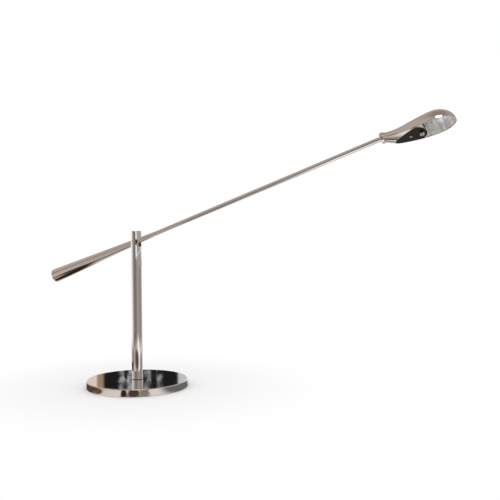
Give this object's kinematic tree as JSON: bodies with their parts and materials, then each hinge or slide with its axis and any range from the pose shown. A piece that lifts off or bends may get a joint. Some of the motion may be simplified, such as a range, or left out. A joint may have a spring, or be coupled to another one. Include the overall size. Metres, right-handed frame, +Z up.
{
  "type": "counterweight balance desk lamp",
  "caption": "Balance-arm desk lamp: weighted round base, upright post with a slotted fork, long arm with a tapered counterweight, and a teardrop hood that turns on the arm.",
  "frame": {"origin": "centre of the base's underside, on the table", "axes": "+Z up; the arm lies in the XZ plane, its hood towards +X and its counterweight towards -X; -Y is the side seen in the picture"},
  "size_m": [0.8562, 0.203, 0.5148],
  "materials": {
    "chrome": "polished chrome plate",
    "cast_iron": "as cast, painted",
    "felt": "felt",
    "nylon": "moulded nylon",
    "bronze": "sintered bronze",
    "brass": "turned",
    "zinc_steel": "zinc plated",
    "reflector_metal": "bright anodised",
    "black_enamel": "black satin",
    "ceramic": "glazed ceramic",
    "bulb_glass": "clear quartz",
    "bulb_metal": "drawn wire",
    "rubber": "moulded",
    "wire_insulation": "smooth sheath"
  },
  "bodies": {
    "base": {"base_cover": "chrome", "base_weight": "cast_iron", "felt_pad": "felt", "cord_bushing": "nylon", "swivel_bush": "bronze", "glide_washer": "nylon", "stop_pin": "zinc_steel", "base_lead": "wire_insulation"},
    "post": {"swivel_stud": "zinc_steel", "wave_washer": "zinc_steel", "tab_washer": "zinc_steel", "swivel_nut": "zinc_steel", "post_foot": "zinc_steel", "post_tube": "chrome", "fork": "chrome", "pivot_screw": "chrome", "pivot_nut": "chrome", "pivot_washers": "nylon", "post_lead": "wire_insulation", "pivot_lead": "wire_insulation"},
    "arm": {"counterweight": "chrome", "lead_grommet": "rubber", "arm_rod": "chrome", "neck_sleeve": "brass", "arm_lead": "wire_insulation"},
    "head": {"neck_cup": "chrome", "neck_washer": "nylon", "retaining_ring": "zinc_steel", "hood": "chrome", "liner": "reflector_metal", "cover_plate": "black_enamel", "strap": "zinc_steel", "lamp_holder": "ceramic", "strap_screw": "zinc_steel", "thumb_screw": "chrome", "bulb": "bulb_glass", "bulb_pins": "bulb_metal", "filament": "bulb_metal", "head_lead": "wire_insulation"}
  },
  "joints": [
    {"name": "post_swivel", "type": "hinge", "parent": "base", "child": "post", "pos_m": [0, 0, 0.015], "axis": [0, 0, 1], "range_deg": [-160, 160]},
    {"name": "arm_tilt", "type": "hinge", "parent": "post", "child": "arm", "pos_m": [0, 0, 0.293], "axis": [0, -1, 0], "range_deg": [-39, 45], "deforming": ["pivot_lead"]},
    {"name": "head_swivel", "type": "hinge", "parent": "arm", "child": "head", "pos_m": [0.51296, 0, 0.47263], "axis": [0.9438, 0, 0.3305], "range_deg": [-74, 106]}
  ]
}
